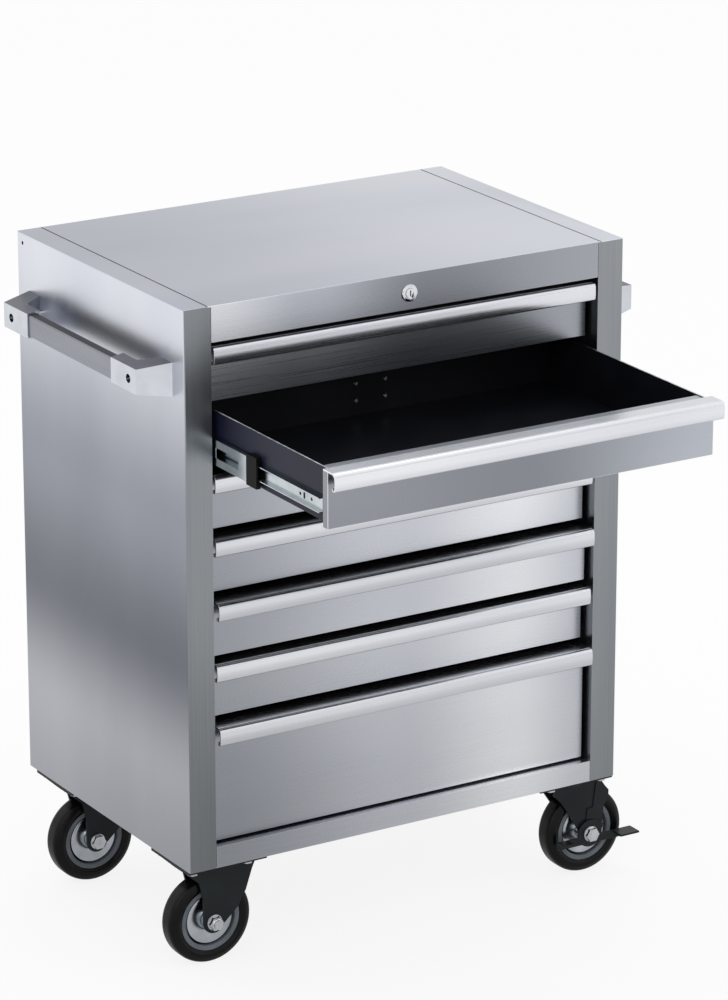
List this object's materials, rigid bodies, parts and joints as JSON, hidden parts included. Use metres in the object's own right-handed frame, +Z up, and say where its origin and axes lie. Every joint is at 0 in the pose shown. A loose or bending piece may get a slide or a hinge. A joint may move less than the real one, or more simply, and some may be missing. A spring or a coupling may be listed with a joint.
{
  "type": "reagent drawer cabinet",
  "caption": "Mobile drawer cabinet in brushed sheet steel: full-width drawers with aluminium handles, a central lock, side push handles and casters.",
  "frame": {"origin": "on the floor, under the middle of the cabinet body's footprint", "axes": "+Z up, drawers open towards -Y, swivel casters on +X"},
  "size_m": [0.777, 0.763, 0.935],
  "materials": {
    "panel_steel": "brushed, vertical grain",
    "worktop_steel": "brushed, grain across the width",
    "front_steel": "brushed, grain across the width",
    "handle_aluminium": "satin anodised",
    "tray_paint": "satin blue-black powder coat",
    "runner_zinc": "bright zinc",
    "push_handle_aluminium": "polished brackets, brushed bar",
    "fastener_zinc": "bright zinc",
    "lock_chrome": "polished",
    "caster_paint": "satin black powder coat",
    "tyre_rubber": "smooth solid rubber",
    "hub_metal": "satin cast disc in a grey rim"
  },
  "bodies": {
    "cabinet": {"left_side_panel": "panel_steel", "right_side_panel": "panel_steel", "back_panel": "panel_steel", "worktop_panel": "worktop_steel", "base_panel": "worktop_steel", "cabinet_runners": "runner_zinc", "side_handles": "push_handle_aluminium", "cabinet_fasteners": "fastener_zinc", "lock_barrel": "lock_chrome", "rigid_caster_forks": "caster_paint", "swivel_caster_plates": "caster_paint"},
    "drawer_1": {"drawer_1_front": "front_steel", "drawer_1_handle": "handle_aluminium", "drawer_1_tray": "tray_paint", "drawer_1_runners": "runner_zinc"},
    "drawer_1_link_pair": {"drawer_1_links": "runner_zinc"},
    "drawer_2": {"drawer_2_front": "front_steel", "drawer_2_handle": "handle_aluminium", "drawer_2_tray": "tray_paint", "drawer_2_runners": "runner_zinc"},
    "drawer_2_link_pair": {"drawer_2_links": "runner_zinc"},
    "drawer_3": {"drawer_3_front": "front_steel", "drawer_3_handle": "handle_aluminium", "drawer_3_tray": "tray_paint", "drawer_3_runners": "runner_zinc"},
    "drawer_3_link_pair": {"drawer_3_links": "runner_zinc"},
    "drawer_4": {"drawer_4_front": "front_steel", "drawer_4_handle": "handle_aluminium", "drawer_4_tray": "tray_paint", "drawer_4_runners": "runner_zinc"},
    "drawer_4_link_pair": {"drawer_4_links": "runner_zinc"},
    "drawer_5": {"drawer_5_front": "front_steel", "drawer_5_handle": "handle_aluminium", "drawer_5_tray": "tray_paint", "drawer_5_runners": "runner_zinc"},
    "drawer_5_link_pair": {"drawer_5_links": "runner_zinc"},
    "drawer_6": {"drawer_6_front": "front_steel", "drawer_6_handle": "handle_aluminium", "drawer_6_tray": "tray_paint", "drawer_6_runners": "runner_zinc"},
    "drawer_6_link_pair": {"drawer_6_links": "runner_zinc"},
    "drawer_7": {"drawer_7_front": "front_steel", "drawer_7_handle": "handle_aluminium", "drawer_7_tray": "tray_paint", "drawer_7_runners": "runner_zinc"},
    "drawer_7_link_pair": {"drawer_7_links": "runner_zinc"},
    "lock_core_body": {"lock_core": "lock_chrome"},
    "lock_bar_body": {"lock_bar": "fastener_zinc"},
    "front_swivel": {"front_swivel_fork": "caster_paint"},
    "front_brake": {"front_brake_lever": "caster_paint"},
    "front_left_wheel": {"front_left_tyre": "tyre_rubber", "front_left_hub": "hub_metal"},
    "front_right_wheel": {"front_right_tyre": "tyre_rubber", "front_right_hub": "hub_metal"},
    "rear_swivel": {"rear_swivel_fork": "caster_paint"},
    "rear_brake": {"rear_brake_lever": "caster_paint"},
    "rear_left_wheel": {"rear_left_tyre": "tyre_rubber", "rear_left_hub": "hub_metal"},
    "rear_right_wheel": {"rear_right_tyre": "tyre_rubber", "rear_right_hub": "hub_metal"}
  },
  "joints": [
    {"name": "drawer_1_slide", "type": "slide", "parent": "cabinet", "child": "drawer_1", "axis": [0, -1, 0], "range_m": [0, 0.345]},
    {"name": "drawer_1_link_slide", "type": "slide", "parent": "cabinet", "child": "drawer_1_link_pair", "axis": [0, -1, 0], "range_m": [0, 0.1725]},
    {"name": "drawer_2_slide", "type": "slide", "parent": "cabinet", "child": "drawer_2", "axis": [0, -1, 0], "range_m": [-0.302, 0.043]},
    {"name": "drawer_2_link_slide", "type": "slide", "parent": "cabinet", "child": "drawer_2_link_pair", "axis": [0, -1, 0], "range_m": [-0.151, 0.0215]},
    {"name": "drawer_3_slide", "type": "slide", "parent": "cabinet", "child": "drawer_3", "axis": [0, -1, 0], "range_m": [0, 0.345]},
    {"name": "drawer_3_link_slide", "type": "slide", "parent": "cabinet", "child": "drawer_3_link_pair", "axis": [0, -1, 0], "range_m": [0, 0.1725]},
    {"name": "drawer_4_slide", "type": "slide", "parent": "cabinet", "child": "drawer_4", "axis": [0, -1, 0], "range_m": [0, 0.345]},
    {"name": "drawer_4_link_slide", "type": "slide", "parent": "cabinet", "child": "drawer_4_link_pair", "axis": [0, -1, 0], "range_m": [0, 0.1725]},
    {"name": "drawer_5_slide", "type": "slide", "parent": "cabinet", "child": "drawer_5", "axis": [0, -1, 0], "range_m": [-0.007, 0.338]},
    {"name": "drawer_5_link_slide", "type": "slide", "parent": "cabinet", "child": "drawer_5_link_pair", "axis": [0, -1, 0], "range_m": [-0.0035, 0.169]},
    {"name": "drawer_6_slide", "type": "slide", "parent": "cabinet", "child": "drawer_6", "axis": [0, -1, 0], "range_m": [0, 0.345]},
    {"name": "drawer_6_link_slide", "type": "slide", "parent": "cabinet", "child": "drawer_6_link_pair", "axis": [0, -1, 0], "range_m": [0, 0.1725]},
    {"name": "drawer_7_slide", "type": "slide", "parent": "cabinet", "child": "drawer_7", "axis": [0, -1, 0], "range_m": [-0.007, 0.338]},
    {"name": "drawer_7_link_slide", "type": "slide", "parent": "cabinet", "child": "drawer_7_link_pair", "axis": [0, -1, 0], "range_m": [-0.0035, 0.169]},
    {"name": "lock_turn", "type": "hinge", "parent": "cabinet", "child": "lock_core_body", "pos_m": [0, -0.23, 0.9086], "axis": [0, -1, 0], "range_deg": [0, 90]},
    {"name": "lock_bar_lift", "type": "slide", "parent": "cabinet", "child": "lock_bar_body", "axis": [0, 0, 1], "range_m": [0, 0.00905]},
    {"name": "front_left_wheel_spin", "type": "hinge", "parent": "cabinet", "child": "front_left_wheel", "pos_m": [-0.286, -0.174, 0.0625], "axis": [0, 1, 0], "continuous": true},
    {"name": "front_swivel_turn", "type": "hinge", "parent": "cabinet", "child": "front_swivel", "pos_m": [0.286, -0.174, 0.156], "axis": [0, 0, 1], "continuous": true},
    {"name": "front_right_wheel_spin", "type": "hinge", "parent": "front_swivel", "child": "front_right_wheel", "pos_m": [0.321, -0.174, 0.0625], "axis": [0, 1, 0], "continuous": true},
    {"name": "front_brake_press", "type": "hinge", "parent": "front_swivel", "child": "front_brake", "pos_m": [0.321, -0.174, 0.0625], "axis": [0, 1, 0], "range_deg": [0, 12]},
    {"name": "rear_left_wheel_spin", "type": "hinge", "parent": "cabinet", "child": "rear_left_wheel", "pos_m": [-0.286, 0.158, 0.0625], "axis": [0, 1, 0], "continuous": true},
    {"name": "rear_swivel_turn", "type": "hinge", "parent": "cabinet", "child": "rear_swivel", "pos_m": [0.286, 0.158, 0.156], "axis": [0, 0, 1], "continuous": true},
    {"name": "rear_right_wheel_spin", "type": "hinge", "parent": "rear_swivel", "child": "rear_right_wheel", "pos_m": [0.321, 0.158, 0.0625], "axis": [0, 1, 0], "continuous": true},
    {"name": "rear_brake_press", "type": "hinge", "parent": "rear_swivel", "child": "rear_brake", "pos_m": [0.321, 0.158, 0.0625], "axis": [0, 1, 0], "range_deg": [0, 12]}
  ],
  "couplings": [
    {"joint": "drawer_1_link_slide", "follows": "drawer_1_slide", "ratio": 0.5},
    {"joint": "drawer_2_link_slide", "follows": "drawer_2_slide", "ratio": 0.5},
    {"joint": "drawer_3_link_slide", "follows": "drawer_3_slide", "ratio": 0.5},
    {"joint": "drawer_4_link_slide", "follows": "drawer_4_slide", "ratio": 0.5},
    {"joint": "drawer_5_link_slide", "follows": "drawer_5_slide", "ratio": 0.5},
    {"joint": "drawer_6_link_slide", "follows": "drawer_6_slide", "ratio": 0.5},
    {"joint": "drawer_7_link_slide", "follows": "drawer_7_slide", "ratio": 0.5},
    {"joint": "lock_turn", "follows": "lock_bar_lift", "rad_per_m": 173.56}
  ]
}
